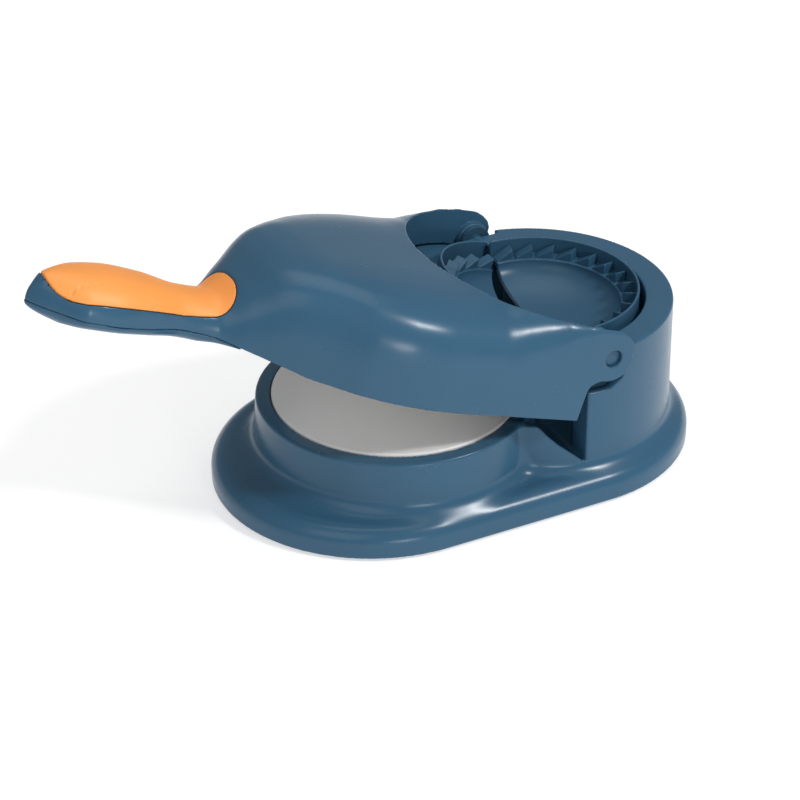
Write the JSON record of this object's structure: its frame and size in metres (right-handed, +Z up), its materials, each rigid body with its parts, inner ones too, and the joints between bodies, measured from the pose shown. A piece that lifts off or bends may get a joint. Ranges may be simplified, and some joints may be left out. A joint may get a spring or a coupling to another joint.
{
  "type": "empanada press",
  "caption": "Two-in-one dough press: a handled lid flattens dough on a round plate, then folds one toothed mould half over the other to shape and crimp a filled turnover.",
  "frame": {"origin": "centre of the oval foot's footprint, on the table", "axes": "+X along the foot towards the drum that holds the mould, +Y across, +Z up; the lid's handle points to -X when it is closed"},
  "size_m": [0.2736, 0.1272, 0.1216],
  "materials": {
    "blue_plastic": "satin moulded",
    "orange_grip": "soft matt",
    "white_disc": "smooth satin",
    "soft_pad": "matt ribbed",
    "washer_plastic": "matt",
    "screw_steel": "plain"
  },
  "bodies": {
    "base": {"base_housing": "blue_plastic", "base_bottom_cover": "blue_plastic", "cover_screws": "screw_steel", "non_slip_pad": "soft_pad", "lower_press_disc": "white_disc", "disc_screws": "screw_steel", "mould_support": "blue_plastic", "support_screws": "screw_steel", "right_mould_half": "blue_plastic", "hinge_pin_near": "blue_plastic", "hinge_pin_far": "blue_plastic", "friction_washers": "washer_plastic"},
    "lid": {"lid_shell": "blue_plastic", "handle_grip": "orange_grip", "handle_bottom_cover": "blue_plastic", "handle_screws": "screw_steel", "press_plate_carrier": "white_disc", "carrier_screws": "screw_steel", "upper_press_plate": "white_disc", "plate_screws": "screw_steel", "mould_scoop": "blue_plastic", "scoop_screws": "screw_steel", "left_mould_half": "blue_plastic", "mould_screws": "screw_steel"}
  },
  "joints": [
    {"name": "lid_hinge", "type": "hinge", "parent": "base", "child": "lid", "pos_m": [0.0382, 0, 0.0608], "axis": [0, 1, 0], "range_deg": [-19, 161]}
  ]
}
